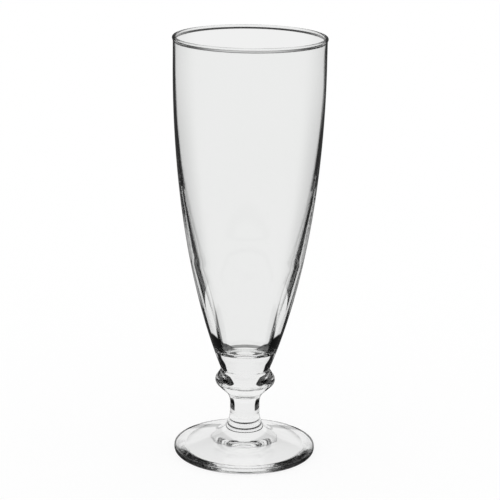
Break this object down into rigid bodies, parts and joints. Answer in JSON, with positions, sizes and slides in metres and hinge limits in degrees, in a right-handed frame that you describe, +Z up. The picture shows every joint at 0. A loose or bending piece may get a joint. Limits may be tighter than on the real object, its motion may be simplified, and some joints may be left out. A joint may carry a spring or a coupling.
{
  "type": "pilsner glass",
  "caption": "Tall footed pilsner glass in clear glass: a slim bowl that swells to an upright rounded rim, on a small knop, a short flared stem and a round foot.",
  "frame": {"origin": "centre of the foot's resting ring, on the surface that the glass stands on", "axes": "+Z up along the glass's axis of revolution; X and Y are any two level directions, because the glass is round"},
  "size_m": [0.0718, 0.0718, 0.202],
  "materials": {
    "clear_glass": "clear colourless soda-lime glass, fire-polished"
  },
  "bodies": {
    "root": {"bowl": "clear_glass", "knop": "clear_glass", "stem": "clear_glass", "foot": "clear_glass"}
  },
  "joints": []
}
